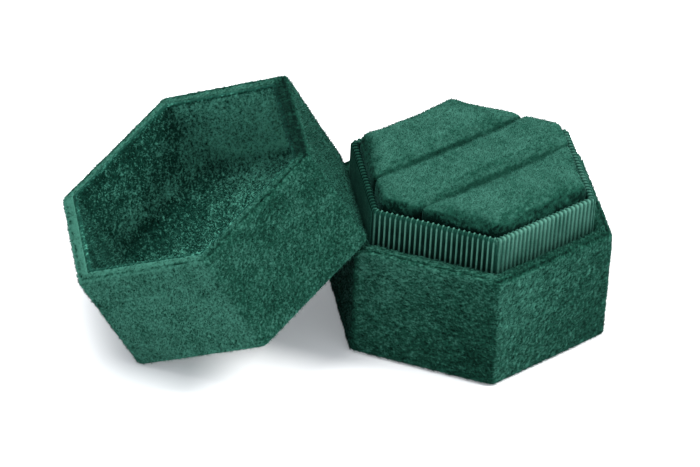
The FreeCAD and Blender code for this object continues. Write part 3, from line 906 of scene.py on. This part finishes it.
def makeCushion(kind, s):
    work = bmesh.new()
    bottom = boxSizes["padFoot"]
    top = boxSizes["padTop"] - s["topDrop"]
    ring = [work.verts.new((x, y, bottom)) for x, y in cushionOutline(kind, s)]
    base = work.faces.new(ring)
    lifted = bmesh.ops.extrude_face_region(work, geom=[base])
    upper = [g for g in lifted["geom"] if isinstance(g, bmesh.types.BMVert)]
    bmesh.ops.translate(work, verts=upper, vec=(0, 0, top - bottom))
    bmesh.ops.recalc_face_normals(work, faces=work.faces[:])
    sides = [e for e in work.edges if abs(e.verts[0].co.z - e.verts[1].co.z) > 1]
    bmesh.ops.bevel(work, geom=sides, offset=s["corner"], segments=s["cornerCuts"],
                    affect="EDGES", profile=0.5)
    rims = [e for e in work.edges if e.verts[0].co.z > top - 0.01 and e.verts[1].co.z > top - 0.01
            and any(abs(f.normal.z) < 0.1 for f in e.link_faces)]
    bmesh.ops.bevel(work, geom=rims, offset=s["edge"], segments=s["edgeCuts"],
                    affect="EDGES", profile=0.5)
    scale = s["simScale"] * mm
    bmesh.ops.scale(work, vec=(scale, scale, scale), verts=work.verts[:])
    mesh = bpy.data.meshes.new(kind + "Cushion")
    work.to_mesh(mesh)
    work.free()
    pad = addObject(kind + "Cushion", mesh)
    grid = pad.modifiers.new("grid", "REMESH")
    grid.mode, grid.voxel_size, grid.adaptivity = "VOXEL", s["voxel"] * scale, 0.0
    dense = settledMesh(pad)
    pad.modifiers.clear()
    pad.data = dense
    start = [v.co.copy() for v in dense.vertices]
    held = pad.vertex_groups.new(name="held")
    for v in dense.vertices:
        weight = clamp((s["pinBelow"] + s["pinFade"] - v.co.z / scale) / s["pinFade"])
        if weight > 0:
            held.add([v.index], weight, "REPLACE")
    cloth = pad.modifiers.new("swell", "CLOTH")
    rules = cloth.settings
    rules.quality, rules.mass = s["quality"], s["mass"]
    rules.tension_stiffness = rules.compression_stiffness = s["stretch"]
    rules.shear_stiffness, rules.bending_stiffness = s["shear"], s["bend"]
    rules.use_pressure, rules.uniform_pressure_force = True, s["pressure"]
    rules.vertex_group_mass = "held"
    rules.effector_weights.gravity = 0
    cloth.point_cache.frame_start, cloth.point_cache.frame_end = 1, s["frames"]
    for f in range(1, s["frames"] + 1):
        bpy.context.scene.frame_set(f)
    swollen = settledMesh(pad)
    pad.modifiers.clear()
    pad.vertex_groups.clear()
    pad.data = swollen
    bpy.context.scene.frame_set(1)
    limit = s["cap"] * scale
    for v, was in zip(swollen.vertices, start):
        moved = v.co - was
        if moved.length > limit:
            v.co = was + moved * (limit / moved.length)
    finer = pad.modifiers.new("finer", "SUBSURF")
    finer.levels = finer.render_levels = 1
    smooth = settledMesh(pad)
    bpy.data.objects.remove(pad)
    smooth.name = kind + "Cushion"
    smooth.transform(Matrix.Scale(1 / scale, 4))
    smooth.update()
    finishCushion(smooth, kind, s)
    made = placeMesh(smooth, Matrix.Rotation(math.radians(30), 4, "Z"))
    made.name = kind + "Cushion"
    made.data.materials.clear()
    made.data.materials.append(padVelvet)
    layPile(made, kind + "CushionPile", padVelvet, "base", padPileSettings)
    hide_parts(kind + "_pad_velvet", kind + "_pad_foam")
    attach(made, "base")
    return made


def finishCushion(mesh, kind, s):
    # keeps the cushion inside the collar and its own side of each slot, then lays the short pile
    flat, slot, gap = boxSizes["padFlat"], s["slot"], s["gap"]
    for v in mesh.vertices:
        co = v.co
        if kind == "middle":
            co.y = max(min(co.y, slot - gap), gap - slot)
        elif kind == "rear":
            co.y = max(co.y, slot + gap)
        else:
            co.y = min(co.y, -slot - gap)
        reach = reachOf(Vector((co.y, co.x, 0)))      # here the hexagon's flats face along Y
        if reach > flat:
            co.x *= flat / reach
            co.y *= flat / reach
        co.z = max(co.z, boxSizes["padFoot"])
    mesh.update()
    spots = [(v.co.copy(), v.normal.copy()) for v in mesh.vertices]
    nap, standing, comb = [], [], []
    across, along, up = s["tuftSize"]
    for i, (co, normal) in enumerate(spots):
        shown = 1.0 if co.z > boxSizes["collarTop"] - s["shownDeep"] else 0.0
        tuft = layeredNoise(Vector((co.x / across, co.y / along, co.z / up)))
        soft = noise.noise(co / s["swell"] + Vector((len(kind), 0, 0)))
        mesh.vertices[i].co = co + normal * shown * (tuft * s["tuftRise"] + soft * s["swellRise"])
        turned = 1 - max(normal.z, 0.0)
        # painted shade where the cloth turns over its edges and down into the slots
        if abs(abs(co.y) - slot) < s["slotNear"]:
            mottle, dark = s["tuftShade"], s["slotDark"] * turned ** s["slotFall"]
        else:
            mottle, dark = s["tuftShade"] + s["edgeTuft"] * turned, s["edgeDark"] * turned ** s["edgeFall"]
        nap.append(s["nap"] + tuft * mottle + soft * s["swellShade"] - dark)
        standing.append(shown * max(normal.z, s["leastPile"]))
        swirl = noise.noise_vector(co / s["swirl"])
        comb += (swirl - normal * swirl.dot(normal))[:]
    storePile(mesh, nap, standing, comb)


for kind in ("rear", "middle", "front"):
    pad = makeCushion(kind, cushionSettings)
    print(kind, "cushion stuffed,", len(pad.data.polygons), "faces")

# boards, cards and paper keep the shape that they have in the frame
keptFinishes = {
    "base_wall_board": greyBoard, "base_floor_board": greyBoard, "insert_card": greyBoard,
    "lid_wall_board": greyBoard, "lid_top_board": greyBoard, "lid_ceiling_card": greyBoard,
    "base_bottom_cover": footPaper,
}
for name, finish in keptFinishes.items():
    for slot in bpy.data.objects[name].material_slots:
        slot.material = finish
print("boards finished")

studio = {
    "floor": 0.92, "floorSize": 6, "floorRough": 0.9, "floorShine": 0.1, "glow": 0.20,
    "glowTint": (0.93, 0.95, 1.0), "world": (0.91, 0.94, 1.0), "worldStrength": 0.80,
    "lights": (
        # name, place, aim, size, watts
        ("keyLight", (0.60, -0.15, 0.70), (0, 0, 0.02), 0.30, 9.0),
        ("topSoft", (-0.25, 0.05, 0.9), (-0.03, 0, 0.02), 0.6, 8.0),
    ),
    "eye": (-0.13629, -0.56779, 0.40402), "aim": (-0.02568, -0.01802, 0.02896),
    "roll": 3.02, "lens": 195.94, "sensor": 36,
}


def buildStudio(s):
    bpy.ops.mesh.primitive_plane_add(size=s["floorSize"])
    floor = bpy.context.object
    floor.name = "floor"
    made, tree = newMaterial("paleFloor")
    shader = node(tree, "ShaderNodeBsdfPrincipled", Base_Color=(s["floor"], s["floor"], s["floor"], 1),
                  Roughness=s["floorRough"], Specular_IOR_Level=s["floorShine"],
                  Emission_Color=(*s["glowTint"], 1), Emission_Strength=s["glow"])
    node(tree, "ShaderNodeOutputMaterial", Surface=shader.outputs["BSDF"])
    floor.data.materials.append(made)
    world = bpy.data.worlds.new("softRoom")
    world.use_nodes = True
    air = world.node_tree.nodes["Background"]
    air.inputs["Color"].default_value = (*s["world"], 1)
    air.inputs["Strength"].default_value = s["worldStrength"]
    bpy.context.scene.world = world
    for name, place, aim, size, watts in s["lights"]:
        lamp = bpy.data.lights.new(name, "AREA")
        lamp.shape, lamp.size, lamp.energy = "DISK", size, watts
        hung = addObject(name, lamp)
        hung.location = place
        hung.rotation_euler = (Vector(aim) - Vector(place)).to_track_quat("-Z", "Y").to_euler()
    lens = bpy.data.cameras.new("camera")
    lens.lens, lens.sensor_width = s["lens"], s["sensor"]
    lens.clip_start, lens.clip_end = 0.01, 20
    seat = addObject("camera", lens)
    look = (Vector(s["aim"]) - Vector(s["eye"])).to_track_quat("-Z", "Y")
    seat.rotation_mode = "QUATERNION"
    seat.rotation_quaternion = look @ Quaternion((0, 0, 1), math.radians(s["roll"]))
    seat.location = s["eye"]
    bpy.context.scene.camera = seat
    bpy.context.scene.view_settings.view_transform = "Standard"


buildStudio(studio)
print("studio lit")
